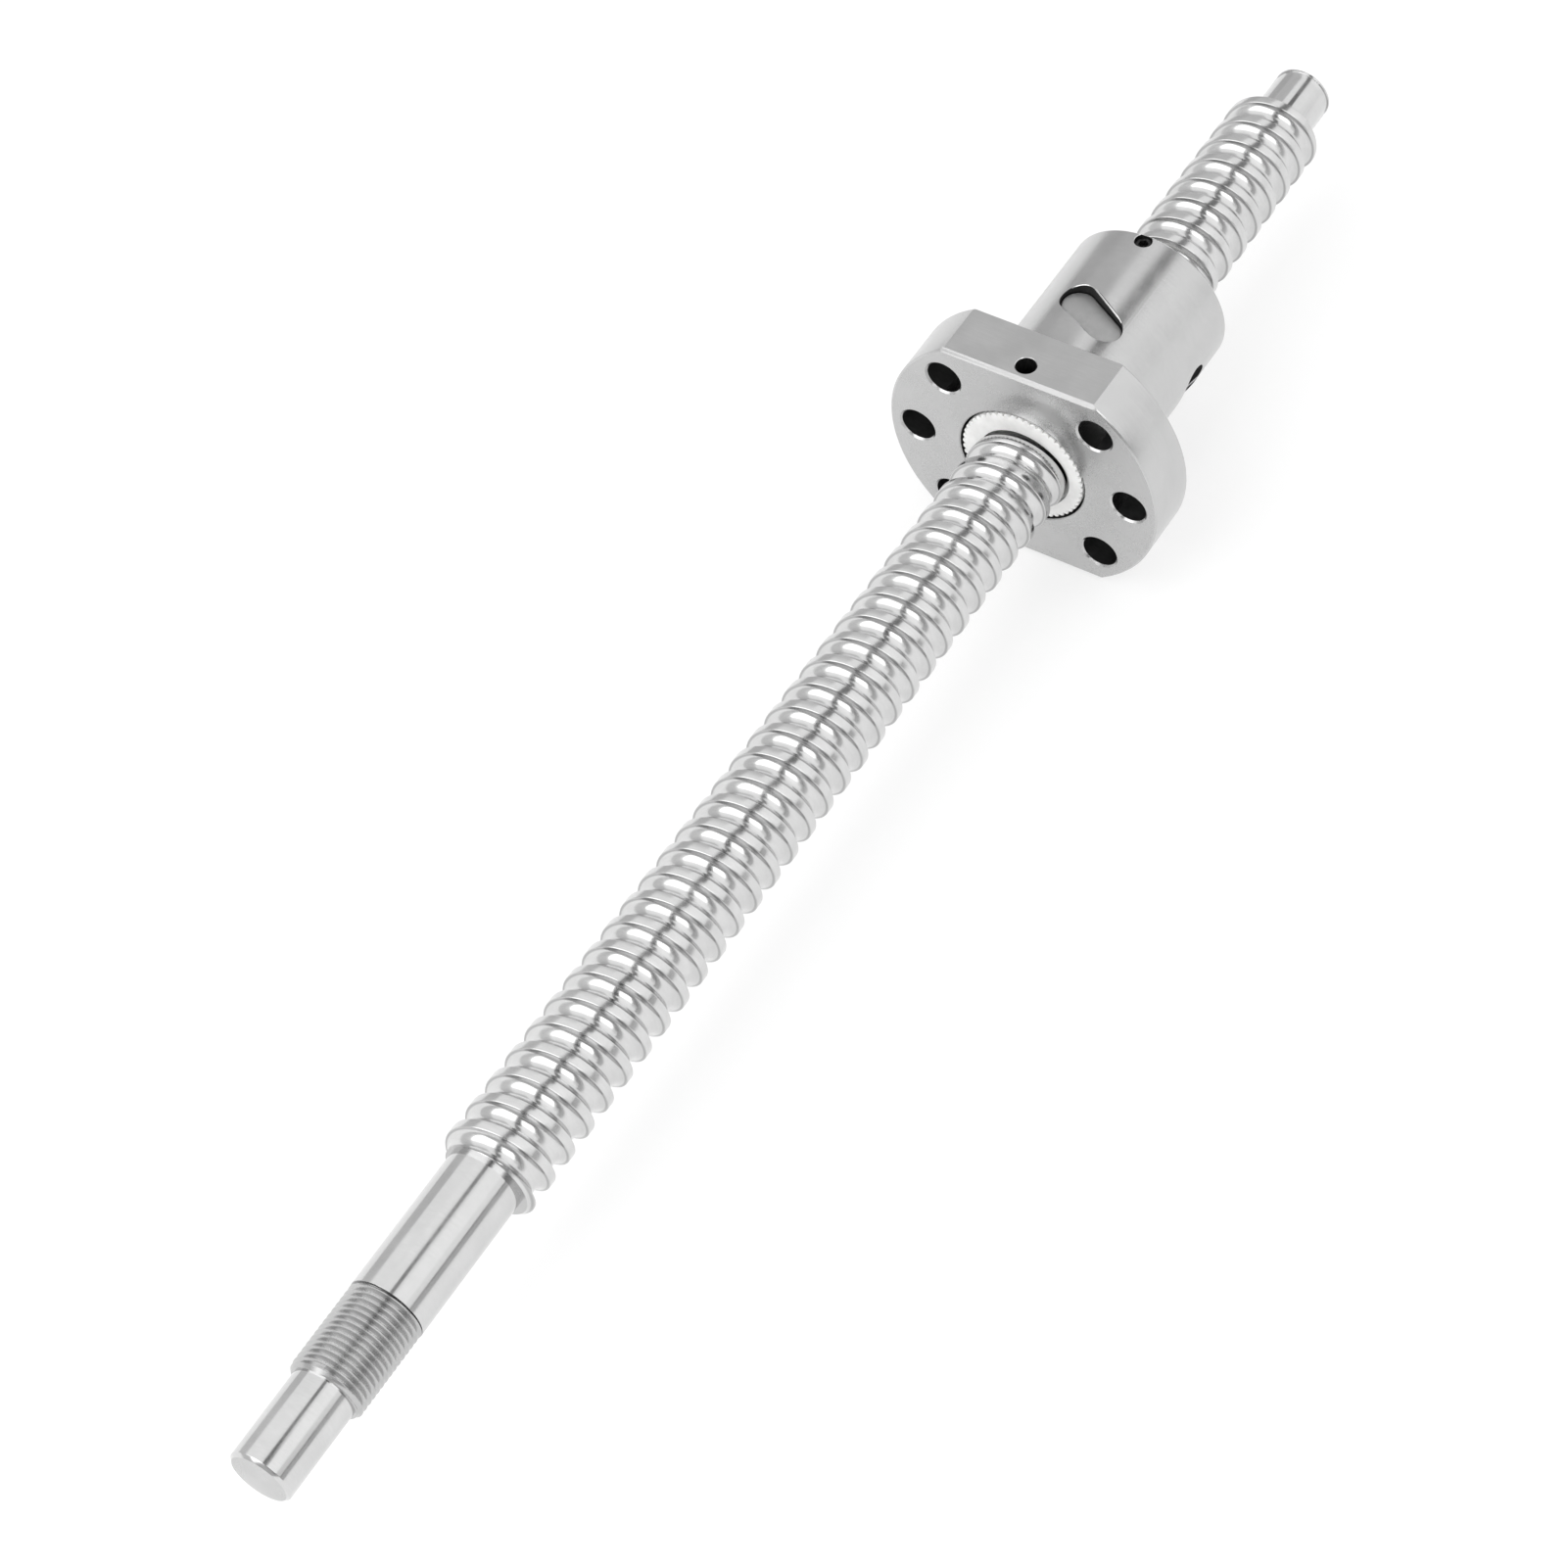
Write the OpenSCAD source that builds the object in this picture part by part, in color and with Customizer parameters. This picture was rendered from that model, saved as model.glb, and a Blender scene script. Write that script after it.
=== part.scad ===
// Ball screw with a single flanged nut: a 16 mm screw with a 5 mm lead, 300 mm overall.
// X is the screw axis and points from the driven end to the far end. The origin is on the
// axis at the shoulder where the bearing journal meets the ball thread. +Z points out of
// the flange flat that holds the oil port.

/* [Ball thread] */
// Diameter over the lands of the screw
screw_d = 16; // [14:0.5:18]
// Advance of the nut in one turn
lead = 5; // [4.5:0.1:6]
// Length of the ball thread between its two shoulders
thread_l = 236; // [200:1:400]
// Distance from the shoulder to the groove along the top of the screw
groove_start = 1.42; // [0:0.01:5]
// Diameter of a ball
ball_d = 3.175; // [3:0.025:3.5]
// Diameter of the circle that the ball centres run on
ball_circle_d = 16.5; // [16:0.1:19]
// Gap between a ball and the walls of its track
track_gap = 0.15; // [0.1:0.01:0.3]
// Chamfer at each end of the ball thread
thread_chamfer = 0.8; // [0.2:0.1:1.5]

/* [Screw ends] */
// Diameter of the bearing journal at the driven end
fixed_journal_d = 12; // [10:0.5:12]
// Length of the bearing journal at the driven end
fixed_journal_l = 24; // [10:0.5:40]
// Pitch of the locknut thread, which has the bearing journal's diameter
locknut_pitch = 1; // [0.75:0.25:1.25]
// Length of the locknut thread
locknut_l = 15; // [8:1:25]
// Diameter of the coupling end
coupling_d = 10; // [8:0.5:10]
// Length of the coupling end
coupling_l = 15; // [10:1:30]
// Diameter of the journal at the far end
floating_journal_d = 10; // [8:0.5:12]
// Length of the journal at the far end
floating_journal_l = 10; // [9.5:0.5:20]
// Diameter at the bottom of the retaining ring groove
ring_groove_d = 9.6; // [9:0.1:9.8]
// Width of the retaining ring groove
ring_groove_w = 1.15; // [0.8:0.05:1.3]
// Land between the retaining ring groove and the end of the screw
ring_groove_land = 0.85; // [0.5:0.05:3]
// Chamfer at both ends of the screw
end_chamfer = 0.5; // [0.2:0.1:1]

/* [Nut] */
// Distance from the shoulder to the front face of the flange
nut_front = 151; // [40:1:190]
// Length of the nut
nut_l = 42; // [40:1:50]
// Diameter of the nut body
body_d = 28; // [27:0.5:32]
// Chamfer on the rear edge of the nut body
body_chamfer = 1; // [0.5:0.1:1.5]
// Bore of the nut over its lands
nut_bore_d = 16.8; // [16.6:0.1:17.4]
// Diameter of the flange
flange_d = 48; // [46:1:54]
// Thickness of the flange
flange_t = 10; // [8:0.5:12]
// Distance between the two flats of the flange
flange_across_flats = 40; // [38:1:44]
// Chamfer on the front edge of each flat
flat_chamfer = 0.6; // [0.3:0.1:1]
// Chamfer on the rims of the flange and of its holes
rim_chamfer = 0.3; // [0.1:0.1:0.5]
// Diameter of the bolt circle
bolt_circle_d = 38; // [37:0.5:40]
// Diameter of a bolt hole
bolt_hole_d = 6; // [4.5:0.1:6.6]
// Angle between neighbouring bolt holes
bolt_spacing = 45; // [40:1:50]
// Diameter of the oil port
oil_port_d = 3.4; // [3:0.1:5]
// Distance from the front face of the flange to the oil port
oil_port_inset = 3; // [2.5:0.1:5]
// Depth of the oil port under its flat
oil_port_depth = 7.8; // [5:0.1:8]

/* [Wipers] */
// Bore of the wiper seats in the nut
wiper_seat_d = 22.4; // [21:0.1:23]
// Depth of the front wiper seat
front_seat_depth = 3; // [2.5:0.1:3.1]
// Depth of the rear wiper seat
rear_seat_depth = 3.1; // [2.5:0.1:3.2]
// Diameter of the wipers
wiper_d = 21.6; // [20.5:0.1:22.5]
// Bore of the wipers
wiper_bore_d = 16.7; // [16.6:0.1:17]
// Number of teeth round the outer edge of a wiper
wiper_teeth = 54; // [24:2:72]
// Diameter of the set screw that locks the rear wiper
set_screw_d = 2.8; // [2:0.1:3]
// Distance from the rear face of the nut to the set screw
set_screw_inset = 2; // [1.5:0.1:2.5]

/* [Ball returns] */
// Length of a deflector
deflector_l = 13.2; // [13:0.1:13.4]
// Width of a deflector
deflector_w = 5.8; // [5.6:0.1:6]
// Slant of a deflector against a plane across the screw
deflector_slant = 29; // [27:1:31]
// Depth of a deflector's top under the surface of the nut body
deflector_recess = 2.2; // [2:0.1:2.3]
// Half of the angle that a return path spans round the screw
return_half_angle = 30; // [28:1:32]
// Balls in each circuit
balls_per_circuit = 16; // [12:1:16]

/* [Hidden] */
$fn = 96;
// Length by which joined and cut shapes pass each other.
overlap = 1;
// Gap round a deflector and round the set screw.
gap = 0.06;
// Distance of a thread's trimming outline from its lands.
trim_margin = 0.3;
screw_r = screw_d / 2;
ball_r = ball_d / 2;
ball_circle_r = ball_circle_d / 2;
coupling_end = -fixed_journal_l - locknut_l - coupling_l;
screw_end = thread_l + floating_journal_l;

// The ball groove of the screw: a five-point gothic arch round a ball.
groove_r = ball_r + track_gap;
groove_half_w = sqrt(groove_r ^ 2 - (ball_circle_r - screw_r) ^ 2);
groove_edge_angle = atan2(groove_half_w, ball_circle_r - screw_r);
haunch_angle = groove_edge_angle * 2 / 3;
haunch_r = groove_r / cos(haunch_angle / 2);
haunch = [haunch_r * sin(haunch_angle), ball_circle_r - haunch_r * cos(haunch_angle)];
groove_profile = [
    [-groove_half_w, screw_r],
    [-haunch.x, haunch.y],
    [0, ball_circle_r - haunch_r],
    [haunch.x, haunch.y],
    [groove_half_w, screw_r]
];
groove_segments = 20;
land_half_w = lead / 2 - groove_half_w;

// The locknut thread: a sixty degree vee.
vee_depth = 0.6 * locknut_pitch;
vee_half_w = 0.42 * locknut_pitch;
vee_profile = [
    [-vee_half_w, fixed_journal_d / 2],
    [0, fixed_journal_d / 2 - vee_depth],
    [vee_half_w, fixed_journal_d / 2]
];
vee_segments = 20;
lead_in_turns = 2;

// The nut: its own ball groove is a little wider and deeper than the screw's.
nut_groove_extra_r = 0.2;
nut_groove_rise = 0.05;
nut_groove_r = groove_r + nut_groove_extra_r;
nut_groove_circle_r = ball_circle_r + nut_groove_rise;
nut_groove_segments = 20;
nut_groove_sides = 8;
// The start line of the turned body lies between the deflector pockets.
body_start_angle = 30;
body_r = body_d / 2;
flange_r = flange_d / 2;
nut_rear = nut_front + nut_l;
flange_back = nut_front + flange_t;
set_screw_x = nut_rear - set_screw_inset;
set_screw_l = 2.2;
oil_passage_d = 1.6;
oil_passage_x = nut_front + front_seat_depth + oil_passage_d / 2 + 0.2;
hex_key_d = 1.5;
wiper_seat_gap = 0.2;
wiper_inset = 0.1;
wiper_tooth = 0.5;
wiper_lip_r = groove_r - 0.5;
wiper_lip_circle_r = ball_circle_r + 0.35;
wiper_lip_rim = 1;

// Each ball circuit: its name, the angle of its deflector and the turn that it closes.
circuits = [["a", 0, 34], ["b", 120, 35], ["c", 240, 32]];
return_path_steps = 12;
return_run_out_steps = 10;
return_channel_r = groove_r + 0.1;
return_channel_sides = 12;
loop_steps = 180;
ball_facets = 24;

function unit(v) = v / norm(v);

// A point at an axial distance, a radius and an angle turned about +X from +Z.
function at(x, r, angle) = [x, -r * sin(angle), r * cos(angle)];

// Centre of the land that a circuit's deflector stands on.
function circuit_x(c) = groove_start + lead * (c[1] / 360 + c[2] + 0.5);

// Distance of a ball from the screw axis, for its axial distance from the middle of a land.
function crossing_r(offset) =
    screw_r + sqrt(groove_r ^ 2 - max(0, abs(offset) - land_half_w) ^ 2);

// A ball centre on a closed circuit whose deflector is at angle 0 and x = 0.
function circuit_point(angle) =
    let (
        turned = angle > 180 ? angle - 360 : angle,
        share = max(-1, min(1, turned / return_half_angle)),
        offset = -lead / 2 * sin(90 * share)
    )
    at(offset + lead * turned / 360, crossing_r(offset), turned);

// Length of the circuit against angle, so that balls can be spaced evenly along it.
circuit_table = [
    for (i = 0, run = 0; i <= loop_steps; run = run + norm(circuit_step(i)), i = i + 1)
        [run, i * 360 / loop_steps]
];
circuit_l = circuit_table[loop_steps][0];

function circuit_step(i) =
    circuit_point((i + 1) * 360 / loop_steps) - circuit_point(i * 360 / loop_steps);

function ball_name(c, k) = str("ball_", c[0], "_", k);

// A rod with a right-hand thread, from x = start over a whole number of turns. The profile
// lists [axial offset, radius] across the groove, and the land joins one turn to the next.
module threaded_rod(profile, pitch, start, turns, segments) {
    wide = len(profile);
    last = turns * segments;
    function ring(i) = [
        for (p = profile) at(start + pitch * i / segments + p.x, p.y, 360 * i / segments)
    ];
    front_tip = (last + 1) * wide;
    points = concat(
        [for (i = [0:last], p = ring(i)) p],
        [[start, 0, 0], [start + pitch * turns, 0, 0]]
    );
    groove = [
        for (i = [0:last - 1], j = [0:wide - 2])
            let (a = i * wide + j, b = a + wide)
            each [[a, a + 1, b + 1], [a, b + 1, b]]
    ];
    land = [
        for (i = [0:last - segments - 1])
            let (a = i * wide + wide - 1, b = (i + segments) * wide)
            each [[a, b, b + wide], [a, b + wide, a + wide]]
    ];
    front_rim = concat(
        [for (j = [wide - 1:-1:0]) j],
        [for (i = [1:segments]) i * wide]
    );
    rear_rim = concat(
        [for (j = [0:wide - 1]) last * wide + j],
        [for (i = [1:segments]) (last - i) * wide + wide - 1]
    );
    front_cap = [
        for (i = [0:len(front_rim) - 1])
            [front_tip, front_rim[i], front_rim[(i + 1) % len(front_rim)]]
    ];
    rear_cap = [
        for (i = [0:len(rear_rim) - 1])
            [front_tip + 1, rear_rim[i], rear_rim[(i + 1) % len(rear_rim)]]
    ];
    polyhedron(points, concat(groove, land, front_cap, rear_cap), convexity = 10);
}

// A round tube along a list of points. The first and last points only give directions.
module swept_tube(path, r, sides) {
    steps = len(path) - 2;
    rings = [
        for (i = [1:steps])
            let (
                along = unit(path[i + 1] - path[i - 1]),
                radial = unit([0, path[i].y, path[i].z]),
                up = unit(radial - (radial * along) * along),
                side = cross(along, up)
            )
            for (k = [0:sides - 1])
                path[i] + r * (up * cos(360 * k / sides) + side * sin(360 * k / sides))
    ];
    walls = [
        for (i = [0:steps - 2], k = [0:sides - 1])
            let (a = i * sides + k, b = i * sides + (k + 1) % sides)
            each [[a, a + sides, b + sides], [a, b + sides, b]]
    ];
    front_cap = [for (k = [0:sides - 1]) k];
    rear_cap = [for (k = [sides - 1:-1:0]) (steps - 1) * sides + k];
    polyhedron(rings, concat([front_cap, rear_cap], walls), convexity = 10);
}

// Turns a profile of [radius, x] points round the screw axis.
module turned(profile) {
    rotate([0, 90, 0])
        rotate_extrude()
            polygon(profile);
}

// A cylinder along the screw axis from x1 to x2.
module rod(r, x1, x2) {
    translate([x1, 0, 0])
        rotate([0, 90, 0])
            cylinder(r = r, h = x2 - x1);
}

module ball_thread() {
    turns = ceil(thread_l / lead) + lead_in_turns;
    rim = screw_r + trim_margin;
    slope = thread_chamfer + trim_margin;
    intersection() {
        threaded_rod(
            groove_profile, lead, groove_start - lead_in_turns * lead, turns, groove_segments
        );
        turned([
            [0, 0],
            [rim - slope, 0],
            [rim, slope],
            [rim, thread_l - slope],
            [rim - slope, thread_l],
            [0, thread_l]
        ]);
    }
}

module locknut_thread() {
    start = -fixed_journal_l - locknut_l;
    rim = fixed_journal_d / 2 + trim_margin;
    slope = vee_depth + trim_margin;
    intersection() {
        threaded_rod(
            vee_profile, locknut_pitch, start - lead_in_turns * locknut_pitch,
            ceil(locknut_l / locknut_pitch) + lead_in_turns, vee_segments
        );
        turned([
            [0, start],
            [rim - slope, start],
            [rim, start + slope],
            [rim, start + locknut_l],
            [0, start + locknut_l]
        ]);
    }
}

module screw_ends() {
    journal_r = fixed_journal_d / 2;
    coupling_r = coupling_d / 2;
    far_r = floating_journal_d / 2;
    groove_x = screw_end - ring_groove_land - ring_groove_w;
    // Driven end: coupling end, core of the locknut thread and bearing journal.
    turned([
        [0, coupling_end],
        [coupling_r - end_chamfer, coupling_end],
        [coupling_r, coupling_end + end_chamfer],
        [coupling_r, -fixed_journal_l],
        [journal_r, -fixed_journal_l],
        [journal_r, overlap],
        [0, overlap]
    ]);
    // Far end: journal with its retaining ring groove.
    turned([
        [0, thread_l - overlap],
        [far_r, thread_l - overlap],
        [far_r, groove_x],
        [ring_groove_d / 2, groove_x],
        [ring_groove_d / 2, groove_x + ring_groove_w],
        [far_r, groove_x + ring_groove_w],
        [far_r, screw_end - end_chamfer],
        [far_r - end_chamfer, screw_end],
        [0, screw_end]
    ]);
}

module screw_shaft() {
    color([0.8, 0.8, 0.82]) {
        union() {
            ball_thread();
            locknut_thread();
            screw_ends();
        }
    }
}

// Slanted round-ended block standing on the axis at a circuit's deflector.
module deflector_block(length, width, top) {
    straight = length - width;
    rotate([0, 0, 90 - deflector_slant]) {
        translate([-straight / 2, -width / 2, 0])
            cube([straight, width, top]);
        for (side = [-1, 1])
            translate([side * straight / 2, 0, 0])
                cylinder(d = width, h = top);
    }
}

module at_circuit(c) {
    translate([circuit_x(c), 0, 0])
        rotate([c[1], 0, 0])
            children();
}

module flange() {
    difference() {
        turned([
            [0, nut_front],
            [flange_r - rim_chamfer, nut_front],
            [flange_r, nut_front + rim_chamfer],
            [flange_r, flange_back - rim_chamfer],
            [flange_r - rim_chamfer, flange_back],
            [0, flange_back]
        ]);
        for (side = [-1, 1]) {
            translate([nut_front - overlap, -flange_r, side * flange_across_flats / 2])
                translate([0, 0, side > 0 ? 0 : -flange_r])
                    cube([flange_t + 2 * overlap, flange_d, flange_r]);
            translate([nut_front, 0, side * flange_across_flats / 2])
                rotate([0, 45, 0])
                    cube([flat_chamfer * sqrt(2), flange_d, flat_chamfer * sqrt(2)], center = true);
        }
        for (side = [-1, 1], k = [-1:1])
            rotate([90 * side + bolt_spacing * k, 0, 0])
                translate([0, 0, bolt_circle_d / 2]) {
                    rod(bolt_hole_d / 2, nut_front - overlap, flange_back + overlap);
                    turned([
                        [0, nut_front - overlap],
                        [bolt_hole_d / 2 + rim_chamfer + overlap, nut_front - overlap],
                        [bolt_hole_d / 2, nut_front + rim_chamfer],
                        [0, nut_front + rim_chamfer]
                    ]);
                }
    }
}

module nut_groove() {
    first = (nut_front + overlap - groove_start) / lead;
    last = (nut_rear - overlap - groove_start) / lead;
    steps = round((last - first) * nut_groove_segments);
    path = [
        for (i = [-1:steps + 1])
            let (turn = first + i / nut_groove_segments)
            at(groove_start + lead * turn, nut_groove_circle_r, 360 * turn)
    ];
    swept_tube(path, nut_groove_r, nut_groove_sides);
}

module nut_body() {
    color([0.74, 0.74, 0.76]) {
        difference() {
            union() {
                flange();
                rotate([body_start_angle, 0, 0])
                    turned([
                        [0, nut_front + overlap],
                        [body_r, nut_front + overlap],
                        [body_r, nut_rear - body_chamfer],
                        [body_r - body_chamfer, nut_rear],
                        [0, nut_rear]
                    ]);
            }
            rod(nut_bore_d / 2, nut_front - overlap, nut_rear + overlap);
            rod(wiper_seat_d / 2, nut_front - overlap, nut_front + front_seat_depth);
            rod(wiper_seat_d / 2, nut_rear - rear_seat_depth, nut_rear + overlap);
            nut_groove();
            for (c = circuits)
                at_circuit(c)
                    deflector_block(deflector_l + 2 * gap, deflector_w + 2 * gap, flange_r);
            translate([set_screw_x, 0, wiper_seat_d / 2 - overlap])
                cylinder(d = set_screw_d + 2 * gap, h = body_r);
            translate([nut_front + oil_port_inset, 0, flange_across_flats / 2 - oil_port_depth])
                cylinder(d = oil_port_d, h = flange_r);
            translate([oil_passage_x, 0, screw_r])
                cylinder(d = oil_passage_d, h = flange_across_flats / 2 - screw_r - oil_port_depth / 2);
        }
    }
}

module return_channel() {
    path = [
        for (i = [-return_path_steps - return_run_out_steps:return_path_steps + return_run_out_steps])
            circuit_point(return_half_angle * i / return_path_steps)
    ];
    swept_tube(path, return_channel_r, return_channel_sides);
}

module deflector(c) {
    color([0.55, 0.55, 0.56]) {
        at_circuit(c) {
            difference() {
                deflector_block(deflector_l, deflector_w, body_r - deflector_recess);
                rod(nut_bore_d / 2, -deflector_l, deflector_l);
                return_channel();
            }
        }
    }
}

// A plastic ring with a toothed outer edge, from x1 to x2.
module wiper_ring(x1, x2) {
    difference() {
        rod(wiper_d / 2, x1, x2);
        rod(wiper_bore_d / 2, x1 - overlap, x2 + overlap);
        for (k = [0:wiper_teeth - 1])
            rotate([k * 360 / wiper_teeth, 0, 0])
                translate([(x1 + x2) / 2, 0, wiper_d / 2])
                    rotate([45, 0, 0])
                        cube([x2 - x1 + 2 * overlap, wiper_tooth, wiper_tooth], center = true);
    }
}

// Lip inside a wiper that runs along the groove of the screw, from x1 to x2.
module wiper_lip(x1, x2) {
    first_turn = (x1 - groove_r - groove_start) / lead;
    last_turn = (x2 + groove_r - groove_start) / lead;
    steps = round((last_turn - first_turn) * nut_groove_segments);
    path = [
        for (i = [-1:steps + 1])
            let (turn = first_turn + i / nut_groove_segments)
            at(groove_start + lead * turn, wiper_lip_circle_r, 360 * turn)
    ];
    intersection() {
        swept_tube(path, wiper_lip_r, nut_groove_sides);
        rod(wiper_d / 2 - wiper_lip_rim, x1, x2);
    }
}

module front_wiper() {
    front = nut_front + wiper_inset;
    back = nut_front + front_seat_depth - wiper_seat_gap;
    color([0.95, 0.95, 0.94]) {
        union() {
            wiper_ring(front, back);
            wiper_lip(front, back);
        }
    }
}

module rear_wiper() {
    color([0.95, 0.95, 0.94])
        wiper_ring(nut_rear - rear_seat_depth + wiper_seat_gap, nut_rear - wiper_inset);
}

module wiper_set_screw() {
    bottom = wiper_d / 2 + wiper_seat_gap;
    color([0.2, 0.2, 0.21]) {
        translate([set_screw_x, 0, bottom]) {
            difference() {
                cylinder(d = set_screw_d, h = set_screw_l);
                translate([0, 0, set_screw_l / 2])
                    cylinder(d = hex_key_d, h = set_screw_l, $fn = 6);
            }
        }
    }
}

module ball(c, k) {
    angle = lookup(circuit_l * (k - 0.5) / balls_per_circuit, circuit_table);
    color([0.85, 0.85, 0.87])
        at_circuit(c)
            translate(circuit_point(angle))
                sphere(d = ball_d, $fn = ball_facets);
}

screw_shaft();
nut_body();
front_wiper();
rear_wiper();
wiper_set_screw();
for (c = circuits) {
    deflector(c);
    for (k = [1:balls_per_circuit])
        ball(c, k);
}
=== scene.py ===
from math import atan2, ceil, cos, floor, hypot, pi, radians, sin, sqrt, tan

import bmesh
import bpy
from mathutils import Matrix, Vector


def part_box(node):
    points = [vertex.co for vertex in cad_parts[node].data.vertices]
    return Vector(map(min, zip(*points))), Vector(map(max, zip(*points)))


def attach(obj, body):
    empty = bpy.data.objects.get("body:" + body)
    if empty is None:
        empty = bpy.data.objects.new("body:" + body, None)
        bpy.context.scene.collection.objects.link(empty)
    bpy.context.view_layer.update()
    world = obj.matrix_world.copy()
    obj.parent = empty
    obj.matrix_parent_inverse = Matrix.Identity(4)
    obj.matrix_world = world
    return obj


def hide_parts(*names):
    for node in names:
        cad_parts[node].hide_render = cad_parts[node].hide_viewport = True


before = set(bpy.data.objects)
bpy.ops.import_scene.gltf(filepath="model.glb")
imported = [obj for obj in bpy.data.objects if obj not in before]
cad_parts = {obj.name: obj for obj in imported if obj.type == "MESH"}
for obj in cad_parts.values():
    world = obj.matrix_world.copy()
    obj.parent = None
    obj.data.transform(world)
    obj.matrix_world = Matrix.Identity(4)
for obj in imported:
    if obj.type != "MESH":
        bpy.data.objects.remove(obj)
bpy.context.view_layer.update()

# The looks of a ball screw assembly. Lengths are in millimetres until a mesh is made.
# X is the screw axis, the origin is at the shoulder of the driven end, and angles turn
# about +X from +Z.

MM = 0.001


def node_box(name):
    """Lowest and highest corner of a CAD node, in millimetres."""
    low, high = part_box(name)
    return Vector(low) / MM, Vector(high) / MM


# ---------------------------------------------------------------- driving dimensions
SCREW_LOW, SCREW_HIGH = node_box("screw_shaft")
NUT_LOW, NUT_HIGH = node_box("nut_body")
SCREW_R = SCREW_HIGH.z
LEAD = 5.0
THREAD_L = 236.0
GROOVE_START = 1.42
BALL_R = 3.175 / 2
BALL_CIRCLE_R = 16.5 / 2
TRACK_GAP = 0.15
GROOVE_R = BALL_R + TRACK_GAP
LAND_EDGE_R = 0.16
THREAD_CHAMFER = 0.8

COUPLING_R = 5.0
COUPLING_L = 15.0
LOCKNUT_R = 5.95
LOCKNUT_L = 15.0
LOCKNUT_PITCH = 1.0
LOCKNUT_DEPTH = 0.6
FIXED_R = 6.0
FLOATING_R = 5.0
RING_GROOVE_R = 4.8
RING_GROOVE_W = 1.15
RING_GROOVE_LAND = 0.85
END_CHAMFER = 0.5
END_CENTRE_R = 0.6

NUT_FRONT = NUT_LOW.x
NUT_REAR = NUT_HIGH.x
FLANGE_R = NUT_HIGH.y
FLAT_Z = NUT_HIGH.z
FLANGE_L = 10
FLANGE_BACK = NUT_FRONT + FLANGE_L
BODY_R = 14.0
BODY_CHAMFER = 1.0
POCKET_CLEARANCE = 0.06
POCKET_CHAMFER = 0.1
NUT_BORE_R = 8.4
RIM_CHAMFER = 0.3
FLAT_CHAMFER = 0.6
FLAT_REAR_CHAMFER = 0.15
BOLT_CIRCLE_R = 19.0
BOLT_HOLE_R = 3.0
BOLT_SPACING = 45
OIL_PORT_R = 1.7
OIL_PORT_INSET = 3.0
OIL_PORT_DEPTH = 7.8
OIL_PORT_CHAMFER = 0.12
OIL_PASSAGE_R = 0.8
SEAT_R = 11.2
FRONT_SEAT_DEPTH = 3.0
REAR_SEAT_DEPTH = 3.1
NUT_GROOVE_R = GROOVE_R + 0.2
NUT_GROOVE_CIRCLE_R = BALL_CIRCLE_R + 0.05

WIPER_R = 10.8
WIPER_BORE_R = 8.35
WIPER_TEETH = 54
WIPER_TOOTH = 0.6
LIP_R = GROOVE_R - 0.5
LIP_CIRCLE_R = BALL_CIRCLE_R + 0.35
SET_SCREW_R = 1.4
SET_SCREW_INSET = 2.0
HEX_KEY_R = 0.87

DEFLECTOR_L = 13.2
DEFLECTOR_W = 5.8
DEFLECTOR_SLANT = 29
DEFLECTOR_RECESS = 2.2
RETURN_HALF_ANGLE = 30
RETURN_STEPS = 12
RETURN_RUN_OUT_STEPS = 10
RETURN_CHANNEL_R = GROOVE_R + 0.1
# Each ball circuit: its name, the angle of its deflector and the turn that it closes.
CIRCUITS = [("a", 0, 34), ("b", 120, 35), ("c", 240, 32)]

# Steps round a turned shape, steps in a turn of a swept groove, and the angle of a sharp edge.
FINE = 192
TURN_STEPS = 48
SHARP = radians(32)


# ---------------------------------------------------------------- meshes
def at(x, r, angle):
    """A point at an axial distance, a radius and an angle in degrees."""
    turn = radians(angle)
    return Vector((x, -r * sin(turn), r * cos(turn)))


def make_object(shape, name):
    """Turns a bmesh into an object, still in millimetres."""
    bmesh.ops.recalc_face_normals(shape, faces=shape.faces)
    mesh = bpy.data.meshes.new(name)
    shape.to_mesh(mesh)
    shape.free()
    piece = bpy.data.objects.new(name, mesh)
    bpy.context.scene.collection.objects.link(piece)
    return piece


def finish_piece(piece, materials, choose=None):
    """Scales a piece to metres, shades it smooth between its sharp edges and gives it materials.

    choose() returns a material's number for a face's centre and normal.
    """
    mesh = piece.data
    mesh.materials.clear()
    for made in materials:
        mesh.materials.append(made)
    for face in mesh.polygons:
        face.material_index = choose(face.center, face.normal) if choose else 0
    mesh.transform(Matrix.Scale(MM, 4))
    mesh.polygons.foreach_set("use_smooth", [True] * len(mesh.polygons))
    mesh.set_sharp_from_angle(angle=SHARP)


def join_rings(shape, rings, closed_rows=True):
    """Joins rows of vertices with quads, each row closed into a ring."""
    for one, two in zip(rings, rings[1:]):
        width = len(one)
        for k in range(width if closed_rows else width - 1):
            after = (k + 1) % width
            shape.faces.new((one[k], one[after], two[after], two[k]))


def add_grid(shape, rows, closed_rows=True, closed_loop=False):
    """Joins rows of points with quads and returns their vertices. A closed loop joins the last row
    to the first."""
    rings = [[shape.verts.new(point) for point in row] for row in rows]
    if closed_loop:
        rings.append(rings[0])
    join_rings(shape, rings, closed_rows)
    return rings


def add_caps(shape, rings):
    shape.faces.new(rings[0])
    shape.faces.new(rings[-1][::-1])


def lathe(shape, outline, segments=FINE, closed=False):
    """Turns an outline of (x, r) points round the screw axis. A closed outline makes a ring."""
    rows = [[at(x, r, 360 * k / segments) for k in range(segments)] for x, r in outline]
    return add_grid(shape, rows, closed_loop=closed)


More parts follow.
